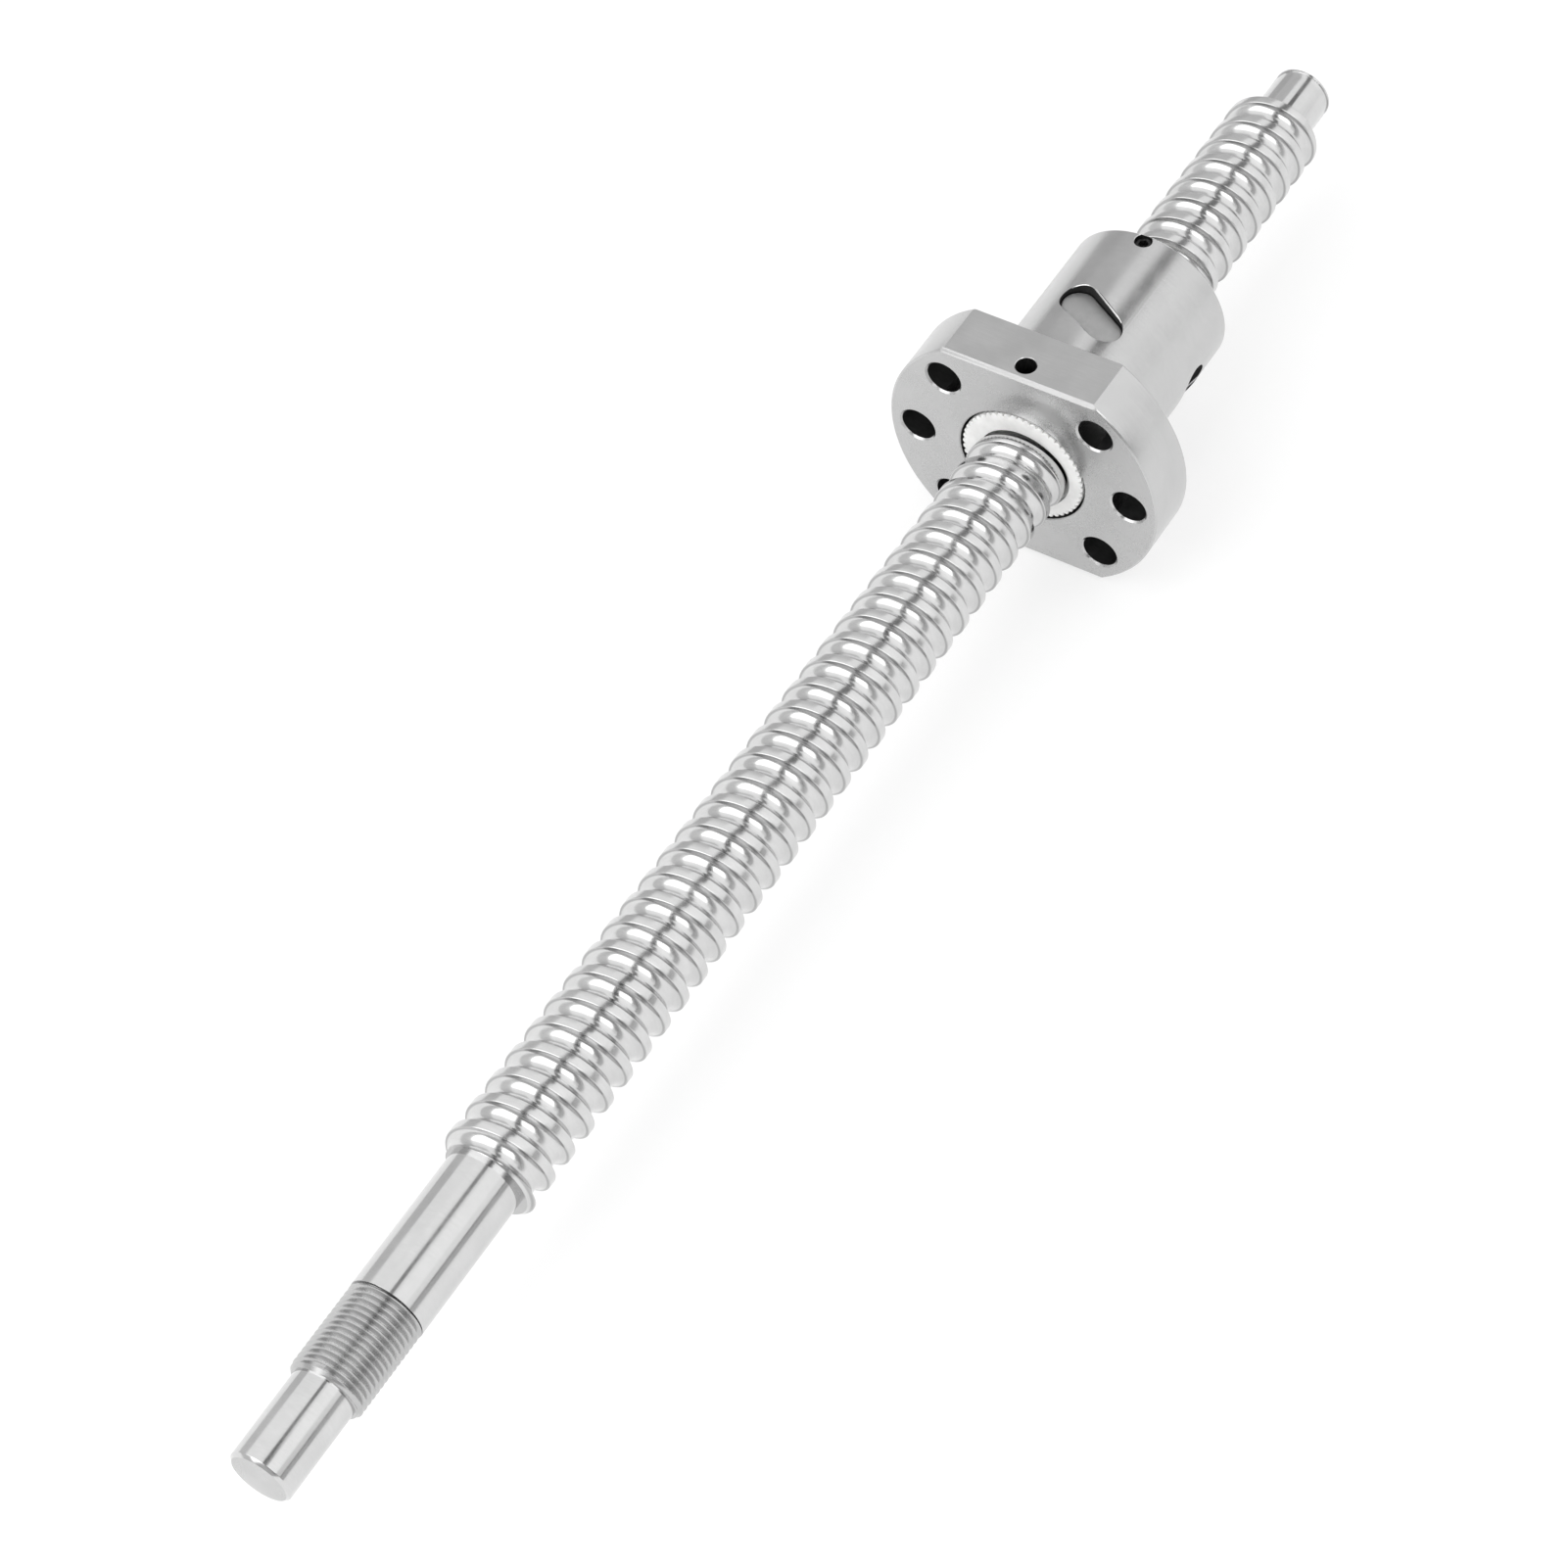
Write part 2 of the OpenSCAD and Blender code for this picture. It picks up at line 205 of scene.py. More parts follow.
def rounded(outline, radius, steps=3, closed=True):
    """The outline with each corner replaced by a small arc."""
    made = []
    count = len(outline)
    for i, corner in enumerate(outline):
        if not closed and i in (0, count - 1):
            made.append(corner)
            continue
        here = Vector(corner)
        before = Vector(outline[i - 1]) - here
        after = Vector(outline[(i + 1) % count]) - here
        half = before.angle(after) / 2
        reach = min(radius / tan(half), before.length / 2.2, after.length / 2.2)
        start = here + before.normalized() * reach
        end = here + after.normalized() * reach
        for k in range(steps + 1):
            share = k / steps
            point = start * (1 - share) ** 2 + here * 2 * share * (1 - share) + end * share ** 2
            made.append((point.x, point.y))
    return made


def sweep(shape, path, r, sides=24):
    """A closed round tube along a list of points."""
    rows = []
    for i, here in enumerate(path):
        along = (path[min(i + 1, len(path) - 1)] - path[max(i - 1, 0)]).normalized()
        radial = Vector((0, here.y, here.z)).normalized()
        up = (radial - radial.dot(along) * along).normalized()
        side = along.cross(up)
        rows.append([
            here + r * (up * cos(2 * pi * k / sides) + side * sin(2 * pi * k / sides))
            for k in range(sides)
        ])
    add_caps(shape, add_grid(shape, rows))


def screw_path(x1, x2, r):
    """Points along the ball thread's own helix between two distances."""
    first = (x1 - GROOVE_START) / LEAD
    last = (x2 - GROOVE_START) / LEAD
    steps = round((last - first) * TURN_STEPS)
    turns = [first + (last - first) * k / steps for k in range(steps + 1)]
    return [at(GROOVE_START + LEAD * turn, r, 360 * turn) for turn in turns]


def rod(x1, x2, r):
    """A closed round bar along the axis."""
    shape = bmesh.new()
    add_caps(shape, lathe(shape, [(x1, r), (x2, r)]))
    return shape


def stadium(length, width, offset=0.0, arc_steps=16):
    """Outline of a round-ended slot, grown outwards by an offset."""
    straight = (length - width) / 2
    radius = width / 2 + offset
    points = []
    for side in (1, -1):
        for k in range(arc_steps + 1):
            angle = radians(-90 + 180 * k / arc_steps)
            points.append((side * (straight + radius * cos(angle)), side * radius * sin(angle)))
    return points


def circle(radius, offset=0.0, steps=48):
    return [
        ((radius + offset) * cos(2 * pi * k / steps), (radius + offset) * sin(2 * pi * k / steps))
        for k in range(steps)
    ]


def prism(shape, rows, place):
    """A closed solid through rows of points, all of one length, moved by a matrix."""
    add_caps(shape, add_grid(shape, [[place @ Vector(point) for point in row] for row in rows]))


def cut_at(shape, x, keep_above=None, reach=2.0):
    """Cuts the faces near a plane across the axis, and drops one side of it if told to."""
    near = [f for f in shape.faces if any(abs(v.co.x - x) < reach for v in f.verts)]
    parts = set(near)
    for face in near:
        parts.update(face.edges)
        parts.update(face.verts)
    bmesh.ops.bisect_plane(
        shape, geom=list(parts), dist=1e-5, plane_co=(x, 0, 0), plane_no=(1, 0, 0)
    )
    if keep_above is not None:
        margin = 1e-4
        if keep_above:
            gone = [v for v in shape.verts if v.co.x < x - margin]
        else:
            gone = [v for v in shape.verts if v.co.x > x + margin]
        bmesh.ops.delete(shape, geom=gone, context="VERTS")


def thread(shape, profile, pitch, start, x1, x2, segments, front_chamfer, rear_chamfer):
    """A right-hand thread from x1 to x2, cut square at both ends, with turned chamfers.

    The profile lists (axial offset, radius) over one pitch, and start is a groove's centre at
    the top of the shaft.
    """
    part = bmesh.new()
    first = floor((x1 - start) / pitch * segments) - 2 * segments
    last = ceil((x2 - start) / pitch * segments) + segments
    rows = []
    for i in range(first, last + 1):
        rows.append([
            part.verts.new(at(start + pitch * i / segments + offset, r, 360 * i / segments))
            for offset, r in profile
        ])
    wide = len(profile)
    for i in range(len(rows) - 1):
        for j in range(wide - 1):
            part.faces.new((rows[i][j], rows[i][j + 1], rows[i + 1][j + 1], rows[i + 1][j]))
    for i in range(len(rows) - segments - 1):
        part.faces.new((
            rows[i][-1], rows[i + segments][0], rows[i + segments + 1][0], rows[i + 1][-1]
        ))
    cut_at(part, x1, keep_above=True, reach=pitch * 2)
    cut_at(part, x2, keep_above=False, reach=pitch * 2)
    crest = max(r for _, r in profile)
    for end, inward, chamfer in ((x1, 1, front_chamfer), (x2, -1, rear_chamfer)):
        if not chamfer:
            continue
        steps = 8
        for k in range(1, steps + 1):
            cut_at(part, end + inward * chamfer * k / steps, reach=pitch)
        for vert in part.verts:
            depth = (vert.co.x - end) * inward
            r = hypot(vert.co.y, vert.co.z)
            limit = crest - chamfer + depth
            if depth < chamfer and r > limit:
                vert.co.y *= limit / r
                vert.co.z *= limit / r
    copy = bpy.data.meshes.new("thread")
    part.to_mesh(copy)
    part.free()
    shape.from_mesh(copy)
    bpy.data.meshes.remove(copy)


def close_shoulder(shape, x):
    """Fills the flat ring between the two open edges that lie in a plane across the axis."""
    edges = [
        e for e in shape.edges
        if e.is_boundary and all(abs(v.co.x - x) < 1e-4 for v in e.verts)
    ]
    bmesh.ops.triangle_fill(shape, edges=edges, use_beauty=True, normal=(1, 0, 0))


def carve(piece, shape, operation="DIFFERENCE"):
    """Cuts or joins a piece with a bmesh."""
    tool = make_object(shape, "tool")
    change = piece.modifiers.new("cut", "BOOLEAN")
    change.solver = "MANIFOLD"
    change.operation = operation
    change.object = tool
    bpy.context.view_layer.update()
    graph = bpy.context.evaluated_depsgraph_get()
    result = bpy.data.meshes.new_from_object(piece.evaluated_get(graph))
    piece.modifiers.clear()
    old = piece.data
    piece.data = result
    result.name = piece.name
    bpy.data.meshes.remove(old)
    bpy.data.objects.remove(tool)


# ---------------------------------------------------------------- materials
class Shader:
    """A procedural material, built a node at a time. Its coordinates are in millimetres."""

    def __init__(self, name):
        self.material = bpy.data.materials.new(name)
        self.material.use_nodes = True
        self.tree = self.material.node_tree
        self.tree.nodes.clear()
        coordinates = self.node("TexCoord").outputs["Object"]
        self.place = self.vector("SCALE", coordinates, scale=1 / MM)
        parts = self.node("SeparateXYZ", {"Vector": self.place}).outputs
        self.x, self.y, self.z = parts
        self.r = self.math("SQRT", self.math("ADD", self.square(self.y), self.square(self.z)))
        self.angle = self.math("ARCTAN2", self.y, self.z)

    def node(self, kind, inputs=None, **settings):
        made = self.tree.nodes.new("ShaderNode" + kind)
        for key, value in settings.items():
            setattr(made, key, value)
        for key, value in (inputs or {}).items():
            if isinstance(value, bpy.types.NodeSocket):
                self.tree.links.new(value, made.inputs[key])
            else:
                made.inputs[key].default_value = value
        return made

    def math(self, operation, one, two=0.0, clamp=False):
        made = self.node("Math", {0: one, 1: two}, operation=operation, use_clamp=clamp)
        return made.outputs[0]

    def square(self, value):
        return self.math("MULTIPLY", value, value)

    def vector(self, operation, one, two=(0, 0, 0), scale=1.0):
        made = self.node("VectorMath", {0: one, 1: two, 3: scale}, operation=operation)
        return made.outputs[0]

    def combine(self, x, y, z):
        return self.node("CombineXYZ", {"X": x, "Y": y, "Z": z}).outputs[0]

    def noise(self, vector, scale, detail=3.0, roughness=0.5):
        inputs = {"Vector": vector, "Scale": scale, "Detail": detail, "Roughness": roughness}
        return self.node("TexNoise", inputs).outputs["Fac"]

    def spread(self, value, low, high, from_low=0.35, from_high=0.65):
        """Stretches the middle of a noise's range to run from low to high."""
        inputs = {0: value, 1: from_low, 2: from_high, 3: low, 4: high}
        return self.node("MapRange", inputs, clamp=True).outputs[0]

    def mix(self, share, one, two):
        made = self.node("Mix", {0: share, 6: one, 7: two}, data_type="RGBA")
        return made.outputs[2]

    def bump(self, height, distance_mm):
        inputs = {"Height": height, "Distance": distance_mm * MM, "Strength": 1.0}
        return self.node("Bump", inputs).outputs[0]

    def tangent(self):
        """The direction round the screw axis at each point."""
        around = self.vector("CROSS_PRODUCT", (1, 0, 0), self.place)
        settings = {"vector_type": "VECTOR", "convert_from": "OBJECT", "convert_to": "WORLD"}
        turned = self.node("VectorTransform", {0: around}, **settings).outputs[0]
        return self.vector("NORMALIZE", turned)

    def output(self, **inputs):
        named = {key.replace("_", " "): value for key, value in inputs.items()}
        surface = self.node("BsdfPrincipled", named)
        self.node("OutputMaterial", {"Surface": surface.outputs[0]})
        return self.material


def grey(value):
    return (value, value, value, 1)


def machined_steel(name, tone, roughness, lay="round", anisotropy=0.0, grain=0.12, marks=0.004,
                   blotch=0.05, painted_edge_shade=None):
    """Bare steel with fine tool marks round the axis, faint stains and uneven polish.

    grain is the spacing of the tool marks and marks their depth, in millimetres. The edge tone
    paints
    shade: it darkens the steel in a band between two radii, given as (lowest radius, highest
    radius, tone), standing in for the dark lines along a thread's groove edges.
    darkens the steel where oil and soil gather, as (lowest radius, highest radius, tone).
    """
    s = Shader(name)
    if lay == "round":
        run = s.combine(
            s.math("MULTIPLY", s.x, 1 / grain),
            s.math("MULTIPLY", s.angle, 3.0),
            s.math("MULTIPLY", s.r, 1 / grain),
        )
    else:
        run = s.vector("MULTIPLY", s.place, (1 / (grain * 2), 1 / (grain * 30), 1 / grain))
    lines = s.noise(run, 1.0, detail=4.0, roughness=0.6)
    stains = s.noise(s.place, 0.16, detail=4.0, roughness=0.6)
    grains = s.noise(s.place, 3.0, detail=5.0, roughness=0.7)
    stained, clean = grey(tone * (1 - blotch)), grey(tone * (1 + blotch / 2))
    colour = s.mix(s.spread(stains, 0, 1), stained, clean)
    colour = s.mix(s.spread(lines, 0, 0.35), colour, grey(tone * 0.86))
    # Painted shade: darkens a band of radii, darkest midway, for the dark lines along the groove
    # edges.
    if painted_edge_shade:
        low, high, dark = painted_edge_shade
        near = s.node("MapRange", {0: s.r, 1: low, 2: high, 3: 0, 4: 1}, clamp=True).outputs[0]
        peak = s.math("MULTIPLY", near, s.math("SUBTRACT", 1.0, near))
        colour = s.mix(s.math("MULTIPLY", peak, 4.0, clamp=True), colour, grey(dark))
    rough = s.math("ADD", s.spread(stains, -0.03, 0.04), s.spread(grains, -0.02, 0.03))
    rough = s.math("ADD", rough, roughness, clamp=True)
    normal = s.bump(lines, marks)
    inputs = {"Base_Color": colour, "Metallic": 1.0, "Roughness": rough, "Normal": normal}
    if anisotropy:
        inputs["Anisotropic"] = anisotropy
        inputs["Tangent"] = s.tangent()
    return s.output(**inputs)


def painted_shade_wall(name):
    """The wall of a deep drilled hole, rough from the drill, coloured near black: painted shade
    standing in for the shade deep inside the hole.
    """
    s = Shader(name)
    rings = s.noise(s.vector("MULTIPLY", s.place, (6, 1, 1)), 1.0)
    # Painted shade: a near-black colour for the shade inside holes, with faint drill rings.
    colour = s.mix(s.spread(rings, 0, 1), grey(0.010), grey(0.022))
    return s.output(
        Base_Color=colour, Metallic=0.5, Roughness=s.spread(rings, 0.45, 0.6),
        Normal=s.bump(rings, 0.02),
    )


def white_acetal(name):
    """Moulded white plastic with a soft gloss and faint flow marks."""
    s = Shader(name)
    flow = s.noise(s.place, 0.5, detail=3.0)
    skin = s.noise(s.place, 9.0, detail=4.0, roughness=0.6)
    colour = s.mix(s.spread(flow, 0, 1), (0.82, 0.82, 0.81, 1), (0.90, 0.90, 0.89, 1))
    return s.output(
        Base_Color=colour, Roughness=s.spread(skin, 0.36, 0.48), Normal=s.bump(skin, 0.006),
        Subsurface_Weight=0.15, Subsurface_Radius=(0.0008, 0.0008, 0.0008),
    )


def sintered_steel(name):
    """Matte grey sintered metal with fine pores."""
    s = Shader(name)
    pores = s.noise(s.place, 11.0, detail=5.0, roughness=0.7)
    cloud = s.noise(s.place, 0.7, detail=3.0)
    colour = s.mix(s.spread(pores, 0, 1, 0.3, 0.5), grey(0.25), grey(0.46))
    colour = s.mix(s.spread(cloud, 0, 0.4), colour, grey(0.36))
    return s.output(
        Base_Color=colour, Metallic=0.75, Roughness=s.spread(pores, 0.5, 0.38),
        Normal=s.bump(pores, 0.012),
    )


def black_oxide(name):
    s = Shader(name)
    worn = s.noise(s.place, 2.5, detail=4.0)
    colour = s.mix(s.spread(worn, 0, 1), grey(0.018), grey(0.06))
    return s.output(
        Base_Color=colour, Metallic=0.8, Roughness=s.spread(worn, 0.35, 0.5),
        Normal=s.bump(worn, 0.01),
    )


# The rolled thread's colour carries painted shade in a band just under its land edges, at radii
# 7.5 to 7.98 mm.
ROLLED = machined_steel(
    "rolled_thread", 0.66, 0.18, grain=0.5, marks=0.0008, painted_edge_shade=(7.5, 7.98, 0.42)
)
GROUND = machined_steel("ground_journal", 0.64, 0.13, anisotropy=0.35, grain=0.12, marks=0.0006)
FINE_THREAD = machined_steel("cut_thread", 0.52, 0.24, anisotropy=0.3, grain=0.1, marks=0.0005)
END_FACE = machined_steel("turned_end", 0.54, 0.24, anisotropy=0.6, grain=0.1, marks=0.001)
TURNED_FACE = machined_steel(
    "turned_flange", 0.55, 0.27, anisotropy=0.75, grain=0.1, marks=0.0005, blotch=0.06
)
GROUND_BODY = machined_steel(
    "ground_nut", 0.57, 0.2, anisotropy=0.6, grain=0.1, marks=0.0004, blotch=0.05
)
MILLED_FLAT = machined_steel(
    "milled_flat", 0.52, 0.36, lay="along", grain=0.12, marks=0.002, blotch=0.06
)
CUT_CHAMFER = machined_steel("cut_chamfer", 0.42, 0.42, lay="along", grain=0.12, marks=0.001)
PAINTED_SHADE_WALL = painted_shade_wall("drilled_wall_painted_shade")
WHITE_PLASTIC = white_acetal("white_acetal")
SINTERED = sintered_steel("sintered_steel")
BLACK_OXIDE = black_oxide("black_oxide")
BALL_STEEL = machined_steel("lapped_ball", 0.82, 0.05, grain=1.0, marks=0.0003)


# ---------------------------------------------------------------- the screw
def groove_profile():
    """The ball groove across one pitch, from the edge of one land to the edge of the next."""
    depth = BALL_CIRCLE_R - SCREW_R
    edge_x = sqrt((GROOVE_R + LAND_EDGE_R) ** 2 - (depth + LAND_EDGE_R) ** 2)
    touch = atan2(edge_x, depth + LAND_EDGE_R)
    flank_steps = 10
    flank = []
    for k in range(flank_steps + 1):
        angle = touch * k / flank_steps
        flank.append((GROOVE_R * sin(angle), BALL_CIRCLE_R - GROOVE_R * cos(angle)))
    edge_steps = 4
    edge = []
    for k in range(1, edge_steps + 1):
        angle = touch * (1 - k / edge_steps)
        edge.append((
            edge_x - LAND_EDGE_R * sin(angle),
            SCREW_R - LAND_EDGE_R + LAND_EDGE_R * cos(angle),
        ))
    half = flank + edge
    return [(-x, r) for x, r in half[:0:-1]] + half


def vee_profile():
    """The locknut thread across one pitch: a vee with a rounded root, between flat crests."""
    half = 0.42 * LOCKNUT_PITCH
    root = LOCKNUT_R - LOCKNUT_DEPTH
    points = [(-half, LOCKNUT_R), (0.0, root), (half, LOCKNUT_R)]
    return rounded(points, 0.05, closed=False)


def build_screw():
    shape = bmesh.new()
    tip = SCREW_LOW.x
    locknut_start = tip + COUPLING_L
    journal_start = locknut_start + LOCKNUT_L
    far_end = SCREW_HIGH.x
    ring_x = far_end - RING_GROOVE_LAND - RING_GROOVE_W
    edge = 0.06
    relief = 0.02
    coupling = [
        (tip, END_CENTRE_R), (tip, COUPLING_R - END_CHAMFER), (tip + END_CHAMFER, COUPLING_R),
        (locknut_start, COUPLING_R),
    ]
    rings = lathe(shape, rounded(coupling, edge, closed=False))
    shape.faces.new(rings[0])
    lathe(shape, [
        (journal_start, FIXED_R - relief), (journal_start + relief, FIXED_R), (0.0, FIXED_R),
    ])
    far = [
        (THREAD_L, FLOATING_R), (ring_x, FLOATING_R), (ring_x, RING_GROOVE_R),
        (ring_x + RING_GROOVE_W, RING_GROOVE_R), (ring_x + RING_GROOVE_W, FLOATING_R),
        (far_end - END_CHAMFER, FLOATING_R), (far_end, FLOATING_R - END_CHAMFER),
        (far_end, END_CENTRE_R),
    ]
    rings = lathe(shape, rounded(far, edge, closed=False))
    shape.faces.new(rings[-1][::-1])
    thread(
        shape, vee_profile(), LOCKNUT_PITCH, locknut_start, locknut_start, journal_start,
        FINE // 2, LOCKNUT_DEPTH, 0,
    )
    thread(
        shape, groove_profile(), LEAD, GROOVE_START, 0.0, THREAD_L,
        FINE // 2, THREAD_CHAMFER, THREAD_CHAMFER,
    )
    for x in (locknut_start, journal_start, 0.0, THREAD_L):
        close_shoulder(shape, x)
    screw = make_object(shape, "screw")

    rolled, ground, cut, end = range(4)

    def choose(centre, normal):
        if abs(normal.x) > 0.95 and (centre.x < 0.1 or centre.x > THREAD_L - 0.1):
            return end
        if 0 < centre.x < THREAD_L:
            return rolled
        if locknut_start < centre.x < journal_start:
            return cut
        return ground

    finish_piece(screw, [ROLLED, GROUND, FINE_THREAD, END_FACE], choose)
    return screw


# ---------------------------------------------------------------- the ball circuits
def circuit_place(circuit):
    """Moves a shape from the top of the screw at x = 0 to a circuit's deflector."""
    _, angle, turn = circuit
    x = GROOVE_START + LEAD * (angle / 360 + turn + 0.5)
    return Matrix.Translation((x, 0, 0)) @ Matrix.Rotation(radians(angle), 4, "X")


def circuit_point(angle):
    """A ball centre on a circuit whose deflector is at angle 0 and x = 0."""
    land_half_w = LEAD / 2 - sqrt(GROOVE_R ** 2 - (BALL_CIRCLE_R - SCREW_R) ** 2)
    share = max(-1, min(1, angle / RETURN_HALF_ANGLE))
    offset = -LEAD / 2 * sin(radians(90 * share))
    r = SCREW_R + sqrt(GROOVE_R ** 2 - max(0, abs(offset) - land_half_w) ** 2)
    return at(offset + LEAD * angle / 360, r, angle)


def slot_turn():
    return Matrix.Rotation(radians(90 - DEFLECTOR_SLANT), 4, "Z")


def on_cylinder(points, radius, place):
    """Points of a flat outline lifted on to a cylinder round the axis, seen from the top."""
    lifted = []
    for x, y in points:
        spot = place @ Vector((x, y, 0))
        lifted.append(Vector((spot.x, spot.y, sqrt(radius ** 2 - spot.y ** 2))))
    return lifted


def pocket_tool(outline, place, turn):
    """A cutter for a pocket in the nut body, whose rim gets an even chamfer."""
    shape = bmesh.new()
    chamfer = POCKET_CHAMFER
    wall = on_cylinder(outline(POCKET_CLEARANCE), BODY_R - chamfer, turn)
    rim = on_cylinder(outline(POCKET_CLEARANCE + 2 * chamfer), BODY_R + chamfer, turn)
    bottom = [Vector((p.x, p.y, SCREW_R - 1)) for p in wall]
    top = [Vector((p.x, p.y, BODY_R + 1)) for p in rim]
    prism(shape, [bottom, wall, rim, top], place)
    return shape


# ---------------------------------------------------------------- the nut
def hole_tool(outline, chamfer, low, high, place, low_chamfer=False):
    """A cutter for a round hole along local z, with a chamfer at its rim."""
    shape = bmesh.new()
    rows = []
    if low_chamfer:
        rows += [[(x, y, low - chamfer) for x, y in outline(2 * chamfer)]]
        rows += [[(x, y, low + chamfer) for x, y in outline(0)]]
    else:
        rows += [[(x, y, low) for x, y in outline(0)]]
    rows += [[(x, y, high - chamfer) for x, y in outline(0)]]
    rows += [[(x, y, high + chamfer) for x, y in outline(2 * chamfer)]]
    prism(shape, rows, place)
    return shape


def box_tool(low, high, turn=None):
    shape = bmesh.new()
    corners = [
        Vector((x, y, z)) for z in (low[2], high[2])
        for x, y in ((low[0], low[1]), (high[0], low[1]), (high[0], high[1]), (low[0], high[1]))
    ]
    prism(shape, [corners[:4], corners[4:]], turn or Matrix.Identity(4))
    return shape


def build_nut():
    shape = bmesh.new()
    rim = 0.2
    outline = [
        (NUT_FRONT, SEAT_R + rim), (NUT_FRONT, FLANGE_R - RIM_CHAMFER),
        (NUT_FRONT + RIM_CHAMFER, FLANGE_R), (FLANGE_BACK - RIM_CHAMFER, FLANGE_R),
        (FLANGE_BACK, FLANGE_R - RIM_CHAMFER), (FLANGE_BACK, BODY_R),
        (NUT_REAR - BODY_CHAMFER, BODY_R), (NUT_REAR, BODY_R - BODY_CHAMFER),
        (NUT_REAR, SEAT_R + rim), (NUT_REAR - rim, SEAT_R), (NUT_REAR - REAR_SEAT_DEPTH, SEAT_R),
        (NUT_REAR - REAR_SEAT_DEPTH, NUT_BORE_R), (NUT_FRONT + FRONT_SEAT_DEPTH, NUT_BORE_R),
        (NUT_FRONT + FRONT_SEAT_DEPTH, SEAT_R), (NUT_FRONT + rim, SEAT_R),
    ]
    lathe(shape, rounded(outline, 0.08), closed=True)
    nut = make_object(shape, "nut")

    # The two flats of the flange and the chamfers along their front and rear edges.
    for side in (1, -1):
        low, high = sorted((side * FLAT_Z, side * (FLANGE_R + 2)))
        carve(nut, box_tool(
            (NUT_FRONT - 1, -FLANGE_R - 1, low), (FLANGE_BACK + 1, FLANGE_R + 1, high)
        ))
        for x, chamfer in ((NUT_FRONT, FLAT_CHAMFER), (FLANGE_BACK, FLAT_REAR_CHAMFER)):
            half = chamfer / sqrt(2)
            corner = Matrix.Translation((x, 0, side * FLAT_Z))
            turn = corner @ Matrix.Rotation(radians(45), 4, "Y")
            carve(nut, box_tool((-half, -FLANGE_R, -half), (half, FLANGE_R, half), turn))

    # The bolt holes.
    along_x = Matrix.Rotation(radians(90), 4, "Y")
    for side in (-1, 1):
        for k in (-1, 0, 1):
            centre = at(0, BOLT_CIRCLE_R, 90 * side + BOLT_SPACING * k)
            tool = hole_tool(
                lambda offset: circle(BOLT_HOLE_R, offset), RIM_CHAMFER, NUT_FRONT, FLANGE_BACK,
                Matrix.Translation(centre) @ along_x, low_chamfer=True,
            )
            carve(nut, tool)

    # The oil port and the passage behind the wiper seat.
    port_x = NUT_FRONT + OIL_PORT_INSET
    passage_x = NUT_FRONT + FRONT_SEAT_DEPTH + OIL_PASSAGE_R + 0.2
    bottom = FLAT_Z - OIL_PORT_DEPTH
    carve(nut, hole_tool(
        lambda offset: circle(OIL_PASSAGE_R, offset, 24), 0, SCREW_R - 0.5, bottom + 1,
        Matrix.Translation((passage_x, 0, 0)),
    ))
    carve(nut, hole_tool(
        lambda offset: circle(OIL_PORT_R, offset), OIL_PORT_CHAMFER, bottom, FLAT_Z,
        Matrix.Translation((port_x, 0, 0)),
    ))

    # The ball groove.
    shape = bmesh.new()
    sweep(shape, screw_path(NUT_FRONT + 1, NUT_REAR - 1, NUT_GROOVE_CIRCLE_R), NUT_GROOVE_R)
    carve(nut, shape)

    # The deflector pockets.
    for circuit in CIRCUITS:
        carve(nut, pocket_tool(
            lambda offset: stadium(DEFLECTOR_L, DEFLECTOR_W, offset),
            circuit_place(circuit), slot_turn(),
        ))

    # The set screw hole.
    carve(nut, pocket_tool(
        lambda offset: circle(SET_SCREW_R, offset),
        Matrix.Translation((NUT_REAR - SET_SCREW_INSET, 0, 0)), Matrix.Identity(4),
    ))

    turned, ground, milled, cut, bored = range(5)
    slack = 0.05

    def choose(centre, normal):
        r = hypot(centre.y, centre.z)
        outward = (normal.y * centre.y + normal.z * centre.z) / r
        at_end = min(abs(centre.x - x) for x in (NUT_FRONT, FLANGE_BACK, NUT_REAR))
        off_flat = abs(abs(centre.z) - FLAT_Z)
        if abs(normal.x) > 0.9 and at_end < 2 * slack:
            return turned
        if abs(normal.z) > 0.99 and off_flat < slack:
            return milled
        if min(abs(normal.x), abs(normal.z)) > 0.5 and off_flat < FLAT_CHAMFER + slack:
            return cut
        if outward > 0.6 and r > BODY_R - BODY_CHAMFER - slack:
            return ground
        if abs(normal.x) > 0.3 and at_end < RIM_CHAMFER + slack:
            return turned
        # Every face inside the nut (bore, seats, groove, holes and pockets) gets the near-black
        # painted shade.
        return bored

    finish_piece(nut, [TURNED_FACE, GROUND_BODY, MILLED_FLAT, CUT_CHAMFER, PAINTED_SHADE_WALL], choose)
    return nut


def build_deflector(circuit):
    """A sintered plug with a rounded top and a return channel for the balls underneath."""
    place = circuit_place(circuit)
    top = BODY_R - DEFLECTOR_RECESS
    edge = 0.3
    levels = [(0, 0.5), (0, top - edge)]
    for k in range(1, 5):
        angle = radians(90 * k / 4)
        levels.append((-edge * (1 - cos(angle)), top - edge + edge * sin(angle)))
    shape = bmesh.new()
    rows = [
        [(x, y, z) for x, y in stadium(DEFLECTOR_L, DEFLECTOR_W, offset)] for offset, z in levels
    ]
    prism(shape, rows, place @ slot_turn())
    plug = make_object(shape, "plug_" + circuit[0])
    carve(plug, rod(NUT_FRONT - LEAD, NUT_REAR + LEAD, NUT_BORE_R))
    shape = bmesh.new()
    reach = RETURN_STEPS + RETURN_RUN_OUT_STEPS
    path = [
        place @ circuit_point(RETURN_HALF_ANGLE * k / RETURN_STEPS)
        for k in range(-reach, reach + 1)
    ]
    sweep(shape, path, RETURN_CHANNEL_R)
    carve(plug, shape)
    finish_piece(plug, [SINTERED])
    return plug


